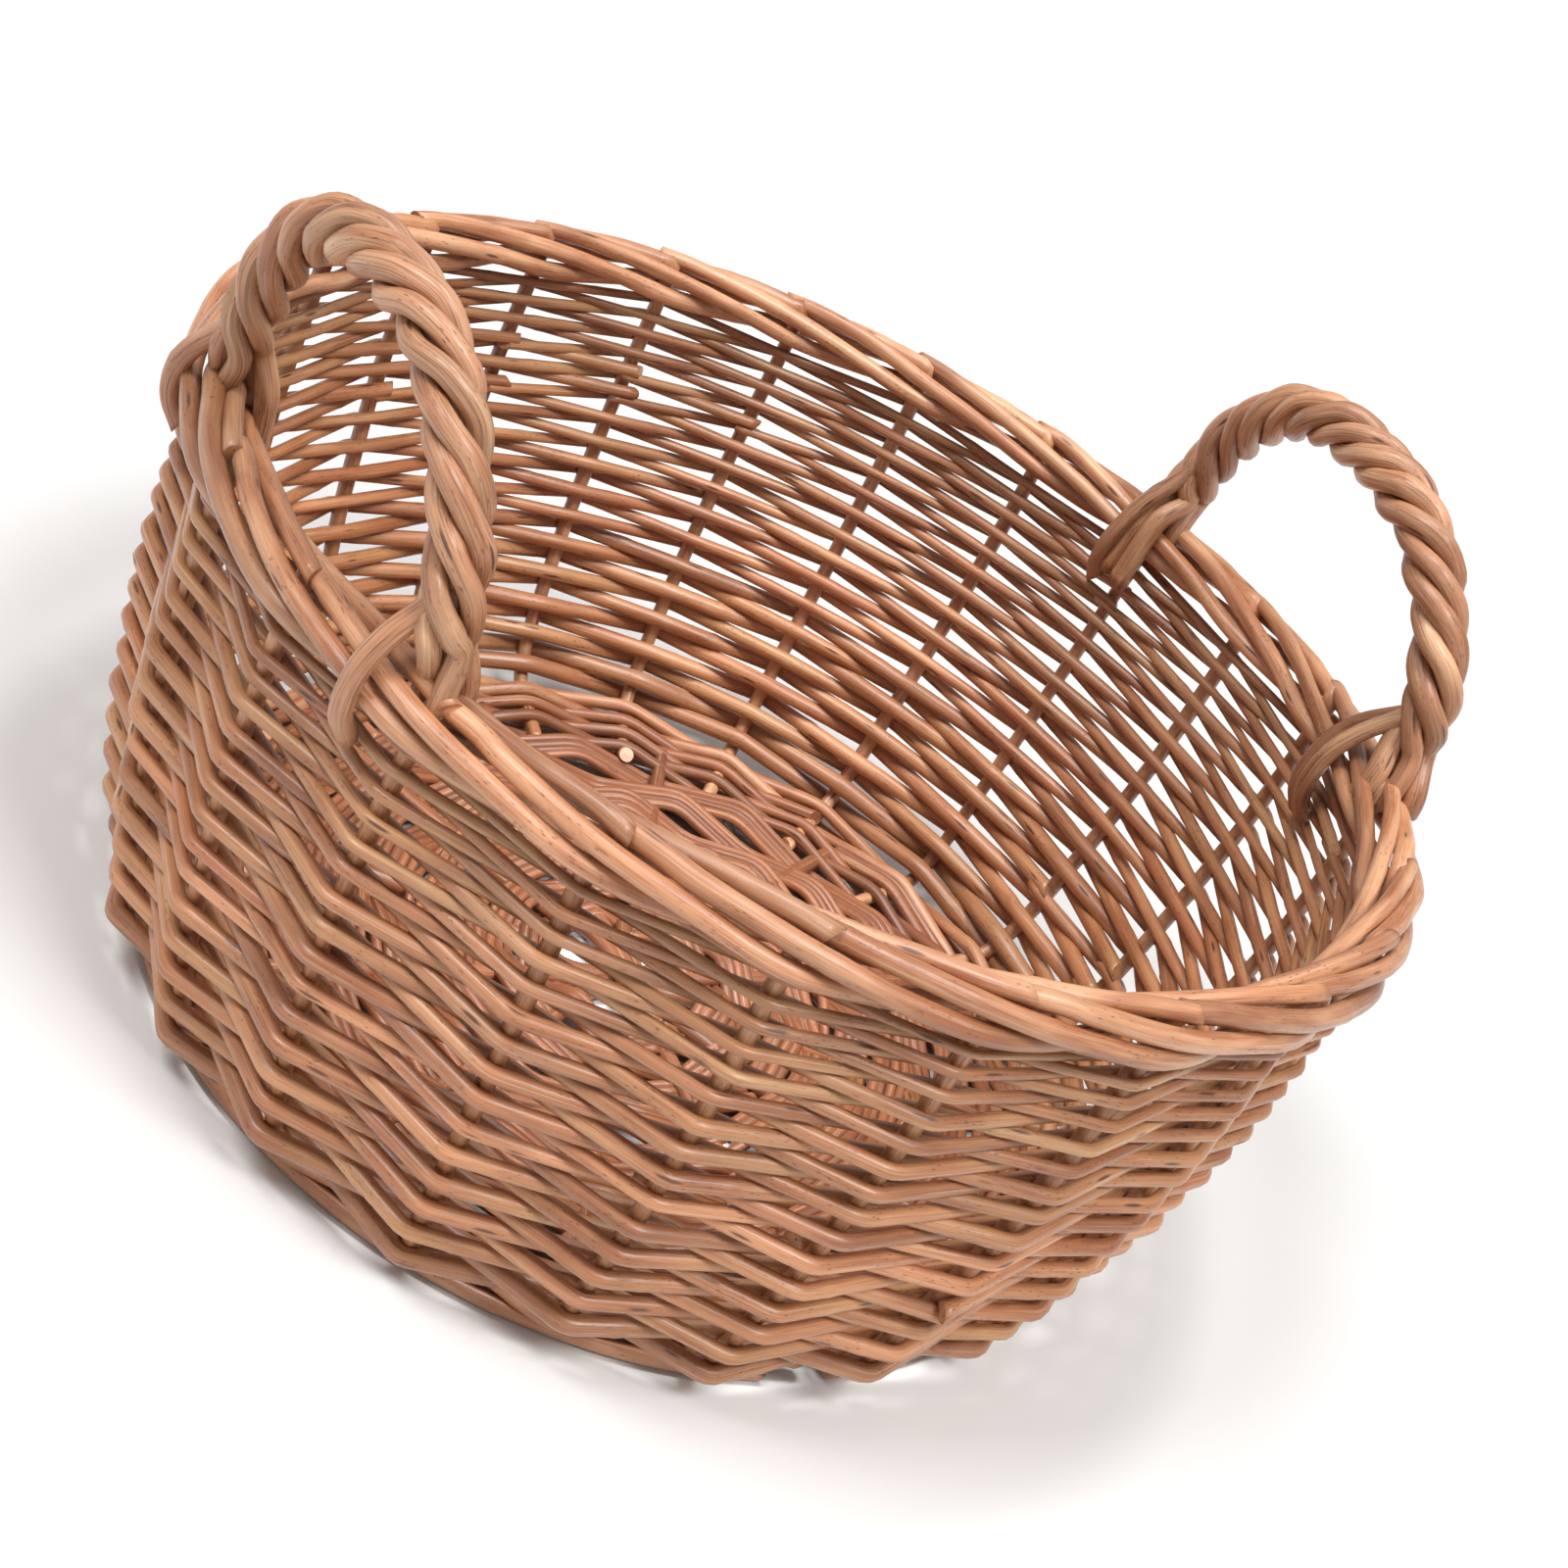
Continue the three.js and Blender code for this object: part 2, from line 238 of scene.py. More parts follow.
def tube(rod):
    """A rod's points, pattern coordinates, side quads and end triangles."""
    tangent, side, up = frames_of(rod.path)
    n, m = len(rod.path), rod.sides
    theta = np.arange(m) * 2 * math.pi / m
    spin_c, spin_s = np.cos(theta + rod.roll), np.sin(theta + rod.roll)
    oval = 1 + (rod.squash - 1) * spin_c**2
    ring = rod.r[:, None] * oval[None]
    spread = np.cos(theta)[None, :, None] * side[:, None] + np.sin(theta)[None, :, None] * up[:, None]
    points = rod.path[:, None] + ring[..., None] * spread
    for end, row, sign in ((0, 0, -1), (1, n - 1, 1)):
        points[row] += sign * rod.cut[end] * rod.r[row] * spin_c[:, None] * tangent[row]
    points = points.reshape(-1, 3)
    centres = np.stack([points[:m].mean(0), points[-m:].mean(0)])

    along = np.repeat(rod.s, m) + rod.offset
    radii = np.repeat(rod.r, m)
    grain = np.stack([along, np.tile(spin_c, n) * radii, np.tile(spin_s, n) * radii], -1)
    grain_ends = np.array([[along[0], 0, 0], [along[-1], 0, 0]])

    here = np.arange(m)
    after = (here + 1) % m
    low = np.arange(n - 1)[:, None] * m
    high = low + m
    quads = np.stack([low + here, low + after, high + after, high + here], -1).reshape(-1, 4)
    top = (n - 1) * m
    low_cap = np.stack([np.full(m, n * m), after, here], -1)
    high_cap = np.stack([np.full(m, n * m + 1), here + top, after + top], -1)
    points = np.concatenate([points, centres])
    grain = np.concatenate([grain, grain_ends])
    return points, grain, quads, np.concatenate([low_cap, high_cap])


def mesh_of(name, rods, material):
    """One mesh of closed tubes, with what the willow material reads stored on its points."""
    verts, grain, tone, quads, caps = [], [], [], [], []
    base = 0
    for rod in rods:
        points, pattern, sides, ends = tube(rod)
        verts.append(points)
        grain.append(pattern)
        tone.append(np.tile(rod.tone, (len(points), 1)))
        quads.append(sides + base)
        caps.append(ends + base)
        base += len(points)
    verts = np.concatenate(verts) * MM
    quads = np.concatenate(quads)
    caps = np.concatenate(caps)

    me = bpy.data.meshes.new(name)
    me.vertices.add(len(verts))
    me.vertices.foreach_set("co", verts.ravel())
    loops = np.concatenate([quads.ravel(), caps.ravel()])
    me.loops.add(len(loops))
    me.loops.foreach_set("vertex_index", loops.astype(np.int32))
    starts = np.concatenate([np.arange(len(quads)) * 4, len(quads) * 4 + np.arange(len(caps)) * 3])
    me.polygons.add(len(starts))
    me.polygons.foreach_set("loop_start", starts.astype(np.int32))
    me.polygons.foreach_set("loop_total", np.array([4] * len(quads) + [3] * len(caps), np.int32))
    me.polygons.foreach_set("use_smooth", np.array([True] * len(quads) + [False] * len(caps)))
    for key, data in (("grain", np.concatenate(grain)), ("tone", np.concatenate(tone))):
        layer = me.attributes.new(key, "FLOAT_VECTOR", "POINT")
        layer.data.foreach_set("vector", data.ravel().astype(np.float32))
    me.update(calc_edges=True)
    me.validate()
    me.materials.append(material)
    ob = bpy.data.objects.new(name, me)
    bpy.context.scene.collection.objects.link(ob)
    return ob


def piece(node, rods, material):
    """The visible rods that take one CAD node's place."""
    ob = mesh_of("willow_" + node, rods, material)
    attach(ob, "root")
    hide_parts(node)


# ---------------------------------------------------------------- willow material


BLACK_TO_WHITE = ((0, 0, 0), (1, 1, 1))
WHITE_TO_BLACK = ((1, 1, 1), (0, 0, 0))


class Shading:
    """Short calls for the shader nodes of one material, which read each rod's own grain."""

    def __init__(self, name):
        self.material = bpy.data.materials.new(name)
        self.material.use_nodes = True
        self.tree = self.material.node_tree
        self.shader = self.tree.nodes["Principled BSDF"]
        self.grain = self.attribute("grain")

    def node(self, kind, **values):
        made = self.tree.nodes.new(kind)
        for key, value in values.items():
            if key in made.inputs:
                made.inputs[key].default_value = value
            else:
                setattr(made, key, value)
        return made

    def feed(self, socket, value):
        """Set an input to a number or a colour, or link it to another node's output."""
        if isinstance(value, (int, float)):
            socket.default_value = value
        elif isinstance(value, tuple):
            socket.default_value = (*value, 1)
        else:
            self.tree.links.new(value, socket)

    def attribute(self, name):
        return self.node("ShaderNodeAttribute", attribute_name=name).outputs["Vector"]

    def stretched(self, scale):
        """The grain coordinates, scaled along the rod and across it."""
        made = self.node("ShaderNodeMapping")
        made.inputs["Scale"].default_value = scale
        self.feed(made.inputs["Vector"], self.grain)
        return made.outputs[0]

    def noise(self, scale, detail=3.0, rough=0.55, distortion=0.0):
        values = dict(Scale=1.0, Detail=detail, Roughness=rough, Distortion=distortion)
        made = self.node("ShaderNodeTexNoise", **values)
        self.feed(made.inputs["Vector"], self.stretched(scale))
        return made.outputs["Fac"]

    def cells(self, scale):
        """Distance from the nearest of many scattered points."""
        made = self.node("ShaderNodeTexVoronoi", Scale=1.0, Randomness=1.0)
        self.feed(made.inputs["Vector"], self.stretched(scale))
        return made.outputs["Distance"]

    def ramp(self, value, places, colours):
        made = self.node("ShaderNodeValToRGB")
        self.feed(made.inputs["Fac"], value)
        elements = made.color_ramp.elements
        while len(elements) < len(places):
            elements.new(0.5)
        for element, place, colour in zip(elements, places, colours):
            element.position = place
            element.color = (*colour, 1)
        return made.outputs["Color"]

    def mix(self, kind, factor, a, b):
        made = self.node("ShaderNodeMix", data_type="RGBA", blend_type=kind)
        for key, value in ((0, factor), (6, a), (7, b)):
            self.feed(made.inputs[key], value)
        return made.outputs[2]

    def math(self, operation, a, b):
        made = self.node("ShaderNodeMath", operation=operation)
        self.feed(made.inputs[0], a)
        self.feed(made.inputs[1], b)
        return made.outputs[0]

    def mapped(self, value, low, high, to_low, to_high):
        made = self.node("ShaderNodeMapRange")
        self.feed(made.inputs["Value"], value)
        for key, number in (("From Min", low), ("From Max", high), ("To Min", to_low), ("To Max", to_high)):
            made.inputs[key].default_value = number
        return made.outputs[0]


def willow(name, tones, roughness, dull=0.0, crease=0.0):
    """Peeled willow: a tone for each rod, streaks along it, broad stains, knots and specks."""
    look = Shading(name)
    rod_tone = look.node("ShaderNodeSeparateXYZ")
    look.feed(rod_tone.inputs[0], look.attribute("tone"))
    body = look.ramp(rod_tone.outputs["X"], [i / (len(tones) - 1) for i in range(len(tones))], tones)

    # broad stains, dark streaks and pale streaks along the rod
    stains = look.ramp(look.noise((0.03, 0.22, 0.22)), (0.40, 0.66), BLACK_TO_WHITE)
    body = look.mix("MIX", stains, body, STAIN)
    streaks = look.noise((0.05, 2.6, 2.6), 4.0, 0.6, 0.15)
    dark = 0.66 - 0.35 * crease
    streak_colours = ((dark, dark * 0.86, dark * 0.74), (1, 1, 1), (1, 1, 1))
    body = look.mix("MULTIPLY", 0.9, body, look.ramp(streaks, (0.30, 0.50, 0.75), streak_colours))
    pale = look.ramp(look.noise((0.025, 1.6, 1.6), 3.0, 0.6), (0.55, 0.75), BLACK_TO_WHITE)
    body = look.mix("MIX", look.math("MULTIPLY", pale, 0.40), body, PALE)

    # each rod's own lightness
    lightness = look.mapped(rod_tone.outputs["Y"], 0.0, 1.0, 0.74, 1.12)
    shade = look.node("ShaderNodeCombineXYZ")
    for key in range(3):
        look.feed(shade.inputs[key], lightness)
    body = look.mix("MULTIPLY", 1.0, body, shade.outputs[0])

    # knots: small dark marks, a few millimetres long
    knots = look.ramp(look.cells((0.045, 0.30, 0.30)), (0.08, 0.15), WHITE_TO_BLACK)
    body = look.mix("MIX", look.math("MULTIPLY", knots, 0.85), body, KNOT)
    # specks: fine brown dots gathered in patches
    specks = look.ramp(look.cells((0.42, 1.5, 1.5)), (0.14, 0.28), WHITE_TO_BLACK)
    patches = look.ramp(look.noise((0.06, 0.30, 0.30), 2.0), (0.48, 0.57), BLACK_TO_WHITE)
    dotted = look.math("MULTIPLY", look.math("MULTIPLY", specks, patches), 0.75)
    body = look.mix("MIX", dotted, body, SPECK)

    inputs = look.shader.inputs
    look.feed(inputs["Base Color"], body)
    look.feed(inputs["Roughness"], look.mapped(streaks, 0.3, 0.7, roughness + 0.12, roughness - 0.06))
    inputs["Specular IOR Level"].default_value = 0.5 - dull
    inputs["Coat Weight"].default_value = 0.50 * (1 - dull)
    inputs["Coat Roughness"].default_value = 0.30

    # fine relief, with a dent at each knot
    fibres = look.math("MULTIPLY", look.noise((0.10, 7.0, 7.0), 2.0), 0.5)
    height = look.math("ADD", streaks, fibres)
    height = look.math("SUBTRACT", height, look.math("MULTIPLY", knots, 0.6))
    bump = look.node("ShaderNodeBump", Strength=0.4 + 0.5 * crease, Distance=0.0003)
    look.feed(bump.inputs["Height"], height)
    look.feed(inputs["Normal"], bump.outputs[0])
    return look.material


def linear(r, g, b):
    """A colour given in sRGB steps of 0 to 255, as Blender wants it."""
    return tuple(((c / 255 + 0.055) / 1.055) ** 2.4 if c > 10 else c / 255 / 12.92 for c in (r, g, b))


STAIN = linear(158, 98, 62)
PALE = linear(226, 192, 160)
KNOT = linear(70, 36, 20)
SPECK = linear(98, 52, 30)
WEAVER_TONES = [
    linear(196, 136, 94), linear(180, 132, 88), linear(206, 144, 102), linear(188, 120, 80),
    linear(194, 146, 102), linear(174, 110, 72),
]
STAKE_TONES = [linear(206, 150, 112), linear(196, 138, 98), linear(214, 162, 124), linear(190, 138, 100)]
HANDLE_TONES = [linear(204, 150, 114), linear(192, 138, 102), linear(210, 162, 124)]
# The base's tones are painted darker than the wall's: painted shade that offsets the inside lamp, which
# lights the base strongly
BASE_TONES = [linear(142, 86, 56), linear(124, 74, 48)]
WEAVER = willow("weaver_willow", WEAVER_TONES, 0.42)
STAKE = willow("stake_willow", STAKE_TONES, 0.40)
HANDLE = willow("handle_willow", HANDLE_TONES, 0.46, crease=1.0)
BASE = willow("base_willow", BASE_TONES, 0.50, 0.1)


# ---------------------------------------------------------------- wall


def weave_path(first, last, thickness, rng):
    """Crossing points of a weaver from stake first to stake last, outside one, inside the next."""
    k = np.arange(first, last + 1)
    count = len(k)
    length = row_place(k / STAKES) + rng.normal(0, 0.30, count)
    offset = 0.94 * (STAKE_THICKNESS + thickness) / 2 + rng.normal(0.0, 0.16, count)
    side = np.where(k % 2 == 0, 1, -1)
    # one rod's end lies under the next rod's start
    length[0] += 0.3 * thickness
    length[-1] -= 0.3 * thickness
    return on_wall(stake_bay(k, length) + rng.normal(0, 0.015, count), length, side * offset)


def weaver_rods(index):
    """The tapering rods of one CAD weaver, laid end to end."""
    rng = np.random.default_rng(100 + index)
    first = sum(WEAVER_SPANS[:index]) + 1
    span = WEAVER_SPANS[index]
    joins = np.linspace(first, first + span, RODS_IN_SPAN[span] + 1)
    joins[1:-1] += rng.integers(-3, 4, len(joins) - 2)
    joins = joins // 2 * 2 + 1  # odd, so that most ends are inside the wall
    if index % 3 == 2:
        joins[1] += 1
    rods = []
    for begin, end in zip(joins[:-1].astype(int), joins[1:].astype(int)):
        pitch = row_pitch((begin + end) / 2 / STAKES)
        thickness = WEAVER_FULLNESS * pitch * rng.uniform(0.90, 1.10)
        path = weave_path(begin, end, thickness, rng)
        # ends run a little past their stakes
        path[0] += (path[0] - path[1]) * rng.uniform(0.05, 0.11)
        path[-1] += (path[-1] - path[-2]) * rng.uniform(0.04, 0.09)
        rods.append(Rod(rounded(path, 2.2, 2.0), thickness, rng, taper=0.24, cut=(0.7, 0.9)))
    return rods


# The stroke of a stake round the border, over, down outside, under, up inside and over
# again: bays, and offsets outwards and up from the border's middle in rod spacings
BORDER_ROUTE = np.array([
    (0.10, 0.05, 1.00), (0.30, 0.28, 1.02), (0.5, 0.55, 0.92), (1, 1.05, 0.55), (1.5, 1.14, 0.0),
    (2, 1.05, -0.6), (2.5, 0.0, -0.85), (3, -1.1, -0.55), (3.5, -1.15, -0.0), (4, -1.0, 0.55),
    (4.5, -0.45, 1.02), (4.9, 0.08, 1.22), (5.12, 0.36, 1.18),
])


# Where the points of a stake's upright lie along the profile
UPRIGHT_LENGTHS = (2.0, 8.0, 14.0, 20.0, 30.0, 45.0, 62.0, 80.0, 98.0, 116.0, 130.0)
UPRIGHT_SHARE = 0.43  # of a stake's whole length


def stake_rods(index):
    """A stake: its butt in the base, its upright, and its stroke of the border."""
    rng = np.random.default_rng(300 + index)
    butt = 3.0 if index % 7 == 3 else -0.2  # a few cut ends stand up in the base
    points = [at(index, 101.0, BASE_LEVEL + butt), at(index, 108.0, BASE_LEVEL)]
    points += [on_wall(stake_bay(index, length), length) for length in UPRIGHT_LENGTHS]
    points.append(at(index + 0.02, RIM_RADIUS, RIM_HEIGHT + 0.80 * BORDER_SPACING))
    bays, outwards, up = BORDER_ROUTE.T
    outwards = outwards * BORDER_SPACING + rng.normal(0, 0.22, len(bays))
    up = up * BORDER_SPACING + rng.normal(0, 0.20, len(bays))
    stroke = at(index + bays, RIM_RADIUS + outwards, RIM_HEIGHT + up)
    path = smooth_curve(np.concatenate([np.array(points), stroke]), 2.2)
    rod = Rod(path, BORDER_THICKNESS * rng.uniform(0.94, 1.06), rng, sides=14, cut=(0.4, 0.5), knots=60)
    share = rod.s / rod.s[-1]
    in_border = np.clip((share - UPRIGHT_SHARE) / (1 - UPRIGHT_SHARE), 0, 1)
    upright = STAKE_THICKNESS / BORDER_THICKNESS
    rod.r = rod.r * np.where(share < UPRIGHT_SHARE, upright, 1.0 - 0.10 * in_border)
    return [rod]


# ---------------------------------------------------------------- base and foot


def zigzag(first, radius, amplitude, phase, rng):
    """Points of one round, over one stake and under the next, in the base."""
    k = np.arange(first, first + STAKES + 1)
    side = np.where((k + phase) % 2 == 0, 1.0, -1.0)
    return at(k, radius + rng.normal(0, 0.25, len(k)), BASE_LEVEL + side * amplitude)


def foot_rods():
    """The ring that the basket rests on, and two thick rows round the stakes' bends."""
    rng = np.random.default_rng(7)
    ring_thickness = 3.9
    row_thickness = 4.2
    ring = at(np.arange(0, STAKES - 0.1, 0.5), FOOT_RADIUS, 2.2)
    rods = [Rod(smooth_curve(ring, 2.5), ring_thickness, rng, cut=(0.3, 0.3))]
    k = np.arange(0, STAKES + 1)
    for length, phase in ((4.0, 1), (8.2, 0)):
        side = np.where((k + phase) % 2 == 0, -1.0, 1.0)
        row = on_wall(stake_bay(k, length), length + rng.normal(0, 0.25, len(k)), side * 3.9)
        row[:, 2] = np.maximum(row[:, 2], 2.3)  # clear of the ground
        row[-1] = row[-2] + (row[-1] - row[-2]) * 0.8
        rods.append(Rod(rounded(row, 3.0, 2.2), row_thickness, rng, taper=0.05, cut=(0.8, 0.8)))
    return rods


def base_edge_rods():
    """Thick rods over and under the stakes, where the base turns up into the wall."""
    rods = []
    for turn, radius in enumerate(EDGE_RADII):
        rng = np.random.default_rng(700 + turn)
        path = zigzag(2 * turn, radius, 3.2, turn, rng)
        path[-1] = path[-2] + (path[-1] - path[-2]) * 0.7
        rods.append(Rod(rounded(path, 4.0, 2.2), EDGE_THICKNESS, rng, taper=0.1, cut=(0.8, 0.8)))
    return rods


def stick_rods(across, index):
    """A base stick: beside its neighbours at the middle, fanned out as a spoke at both ends."""
    rng = np.random.default_rng(500 + index + 10 * across)
    fan = (index - 2) * 2 * math.pi / SPOKES
    rise = 2.1 if across else -2.1
    turn = math.pi / 2 if across else 0.0

    def spot(x, y, z):
        return [x * math.cos(turn) - y * math.sin(turn), x * math.sin(turn) + y * math.cos(turn), z]

    points = []
    for side in (-1, 1):
        arm = [
            spot(side * STICK_REACH * math.cos(fan), STICK_REACH * math.sin(fan), BASE_LEVEL),
            spot(side * 36 * math.cos(fan), 36 * math.sin(fan), BASE_LEVEL),
            spot(side * 13, (index - 2) * STICK_THICKNESS, BASE_LEVEL + rise),
        ]
        points += arm if side < 0 else arm[::-1]
    return [Rod(smooth_curve(points, 3.0), STICK_THICKNESS, rng, sides=12, cut=(0.3, 0.3))]


def base_weave_rods(first_radius, slews, seed):
    """Slews of thin rods laid side by side, over one spoke and under the next."""
    rods = []
    for slew in range(slews):
        for lane in range(SLEW_RODS):
            rng = np.random.default_rng(seed + 10 * slew + lane)
            radius = first_radius + (slew * SLEW_RODS + lane) * SLEW_PITCH
            # an odd number of crossings further out, where the stakes' butts are spokes too
            crossings = SPOKES if radius < 60 else 2 * SPOKES - 1
            k = np.arange(0, crossings + 1)
            angle = FRONT + 2 * math.pi * (k + 0.3 * slew) / crossings
            side = np.where((k + slew) % 2 == 0, 1.0, -1.0)
            height = BASE_LEVEL + side * 3.3 + rng.normal(0, 0.15, len(k))
            r = radius + rng.normal(0, 0.2, len(k))
            path = np.stack([r * np.cos(angle), r * np.sin(angle), height], -1)
            path[-1] = path[-2] + (path[-1] - path[-2]) * 0.8
            thickness = SLEW_THICKNESS * rng.uniform(0.92, 1.06)
            rods.append(Rod(rounded(path, 4.0, 2.5), thickness, rng, taper=0.2, sides=8))
    return rods


# ---------------------------------------------------------------- handles


# Each handle: the bay of its middle, half its width, the distance of its feet from the axis, its
# lean outwards in degrees, its rise above the border, and its strands' thickness
HANDLES = {
    "right": dict(centre=5.57, half=59.0, radius=146.0, lean=-11.0, rise=64.0, strand=5.9),
    "left": dict(centre=-5.32, half=51.0, radius=139.5, lean=6.0, rise=61.0, strand=5.4),
}
HANDLE_FOOT = RIM_HEIGHT + 1.5
CORE_THICKNESS = 3.8
STRANDS = 4
STRAND_OFFSET = 0.77  # from the core's middle to a strand's, in strand thicknesses
STRAND_PITCH = 44.0  # length of one turn
FOOT_BEND = 30.0  # height over which a leg bends in to the border
SPLIT = 13.0  # length at each foot over which the strands part


def handle_arch(side):
    """The core's path, and the directions square to the arch, outwards and along the rim."""
    h = HANDLES[side]
    out = at(h["centre"], 1.0, 0.0)
    along = np.array([-out[1], out[0], 0])
    lean = math.radians(h["lean"])
    up = np.array([0, 0, math.cos(lean)]) + out * math.sin(lean)
    a = np.linspace(0, math.pi, 25)
    # a little squarer than a half ellipse
    reach = np.sign(np.cos(a)) * np.abs(np.cos(a)) ** 0.85
    middle = out * h["radius"] + np.array([0, 0, HANDLE_FOOT])
    points = middle - h["half"] * reach[:, None] * along + h["rise"] * np.sin(a)[:, None] ** 0.95 * up
    # both feet bend in to the middle of the border
    flat = points * (1, 1, 0)
    radius = np.linalg.norm(flat, axis=1)
    bend = np.clip(1 - (points[:, 2] - HANDLE_FOOT) / FOOT_BEND, 0, 1) ** 1.5
    points -= flat / radius[:, None] * ((radius - RIM_RADIUS + 1.5) * bend)[:, None]
    return smooth_curve(points, 1.5), np.cross(along, up), out, along


# Where the strands go at a foot: outwards from the border's middle, along the rim away from
# the handle's middle, and up
STRAND_FEET = {
    ("right", "front"): [(-5.5, 4.0, -3.0), (-1.5, 8.0, 0.5), (2.0, 2.5, 2.0), (5.5, 8.0, 0.0)],
    ("right", "rear"): [(-10.0, 4.0, -12.0), (-9.5, -1.5, -13.0), (2.0, 3.5, 1.5), (1.0, -5.0, 2.0)],
    ("left", "front"): [(-9.5, 3.0, -9.0), (-9.5, -3.0, -10.0), (0.0, 4.0, 1.5), (0.0, -2.0, 1.5)],
    ("left", "rear"): [(-9.5, 2.5, -10.0), (-9.5, -3.0, -7.0), (0.0, 4.0, 2.0), (0.5, -2.0, 2.0)],
}


def strand_paths(side):
    """The strands twisted round the core, each led to the nearest place at either foot."""
    rng = np.random.default_rng({"right": 810, "left": 910}[side])
    path, face, _, along = handle_arch(side)
    tangent = np.gradient(path, axis=0)
    tangent /= np.linalg.norm(tangent, axis=1)[:, None]
    inward = np.cross(face, tangent)
    s = lengths_along(path)
    middle = (s > SPLIT) & (s < s[-1] - SPLIT)
    spirals = []
    for number in range(STRANDS):
        angle = 2 * math.pi * (s / STRAND_PITCH + number / STRANDS) + 0.22 * gentle_noise(s, 60, rng)
        offset = HANDLES[side]["strand"] * (STRAND_OFFSET + 0.09 * gentle_noise(s, 40, rng))
        around = np.cos(angle)[:, None] * face + np.sin(angle)[:, None] * inward
        spiral = path + offset[:, None] * around
        spirals.append(spiral[middle])
    ends = ("front", "rear") if side == "right" else ("rear", "front")
    leads = []
    for end, foot, sign, place in ((ends[0], path[0], -1, 0), (ends[1], path[-1], 1, -1)):
        centre = np.array([*(foot[:2] / np.linalg.norm(foot[:2])), 0.0])
        tracks = []
        for outwards, apart, up in STRAND_FEET[side, end]:
            low = centre * (RIM_RADIUS + outwards) + sign * apart * along + np.array([0, 0, RIM_HEIGHT + up])
            high = low + centre * -0.2 * outwards
            high[2] = RIM_HEIGHT + 6.5  # just over the border's rods
            tracks.append((low, high))
        orders = list(permutations(range(STRANDS)))
        costs = []
        for order in orders:
            gaps = [np.linalg.norm(spirals[i][place] - tracks[j][1]) for i, j in enumerate(order)]
            costs.append(sum(gap**2 for gap in gaps))
        leads.append([tracks[j] for j in orders[int(np.argmin(costs))]])
    paths = []
    for number, spiral in enumerate(spirals):
        start, finish = leads[0][number], leads[1][number]
        paths.append(smooth_curve([*start, *spiral[::5], spiral[-1], *finish[::-1]], 1.6))
    return paths


def handle_rods(side, part):
    """The core, or the strands of one of the three CAD strands: the first has two."""
    rng = np.random.default_rng({"right": 800, "left": 900}[side] + part)
    if part == 0:
        return [Rod(handle_arch(side)[0], CORE_THICKNESS, rng, sides=12)]
    rods = []
    for number in (part - 1, part + 2):
        if number < STRANDS:
            path = strand_paths(side)[number]
            thickness = HANDLES[side]["strand"] * rng.uniform(0.92, 1.08)
            rods.append(Rod(path, thickness, rng, sides=12, cut=(0.6, 0.6), knots=30))
    return rods


# A tie's course from the leg, over the border and down into the wall: bays towards the
# handle's middle, outwards from the border's middle, and up
TIES = {
    ("right", "front"): [(0.10, 1.5, 26.0), (0.15, -3.0, 19.5), (0.21, -7.6, 12.0), (0.26, -10.6, 3.5),
                         (0.30, -10.8, -5.5), (0.33, -9.0, -12.5), (0.34, -5.5, -18.0)],
    ("right", "rear"): [(0.10, 1.5, 27.0), (0.03, -4.0, 18.5), (-0.05, -8.6, 9.5), (-0.10, -11.0, 0.0),
                        (-0.13, -10.4, -8.0), (-0.14, -8.0, -14.0), (-0.14, -5.0, -18.0)],
    ("left", "front"): [(0.16, 0.0, 25.0), (0.21, 3.2, 19.0), (0.255, 6.4, 13.5), (0.285, 9.0, 7.0),
                        (0.30, 9.6, 0.5), (0.31, 8.2, -7.0), (0.32, 3.5, -13.0)],
    ("left", "rear"): [(0.16, 0.0, 24.0), (0.09, 2.8, 18.5), (0.01, 5.8, 13.0), (-0.06, 8.4, 7.0),
                       (-0.12, 9.2, 0.0), (-0.14, 8.0, -6.0), (-0.15, 4.5, -11.5)],
}


def tie_rods(side, end):
    """Strand ends that leave a leg, cross the border and go into the wall."""
    h = HANDLES[side]
    reach = h["half"] / (h["radius"] * BAY)
    direction = (1 if end == "front" else -1) * (-1 if side == "right" else 1)
    foot = h["centre"] + direction * reach
    rng = np.random.default_rng(950 + (side == "left") * 2 + (end == "rear"))
    rods = []
    # the right front foot has two strands side by side, the second a little thinner
    lanes = (0.0, 0.11) if (side, end) == ("right", "front") else (0.0,)
    for lane in lanes:
        points = []
        for step, (bays, outwards, up) in enumerate(TIES[side, end]):
            bays += lane * min(1.0, step / 2)
            points.append(at(foot - direction * bays, RIM_RADIUS + outwards, RIM_HEIGHT + up))
        rods.append(Rod(smooth_curve(points, 1.6), 4.9 - 4 * lane, rng, sides=12, cut=(0.8, 0.8)))
    return rods


# ---------------------------------------------------------------- assembly


def build():
    piece("foot_rod", foot_rods(), STAKE)
    for number in (1, 2, 3):
        piece(f"base_stick_along_{number}", stick_rods(False, number), BASE)
        piece(f"base_stick_across_{number}", stick_rods(True, number), BASE)
    for number, (radius, slews) in enumerate(SLEWS, 1):
        rods = base_weave_rods(radius, slews, 600 + 100 * number)
        piece(f"base_weaver_{number}", rods, BASE)
    piece("base_edge_weaver", base_edge_rods(), BASE)
    for index in range(STAKES):
        piece(f"stake_{index + 1:02d}", stake_rods(index), STAKE)
    for index in range(len(WEAVER_SPANS)):
        piece(f"wall_weaver_{index + 1:02d}", weaver_rods(index), WEAVER)
    for side in HANDLES:
        piece(f"handle_{side}_core", handle_rods(side, 0), HANDLE)
        for part in (1, 2, 3):
            piece(f"handle_{side}_strand_{part}", handle_rods(side, part), HANDLE)
        for end in ("front", "rear"):
            piece(f"handle_{side}_tie_{end}", tie_rods(side, end), HANDLE)


# ---------------------------------------------------------------- studio


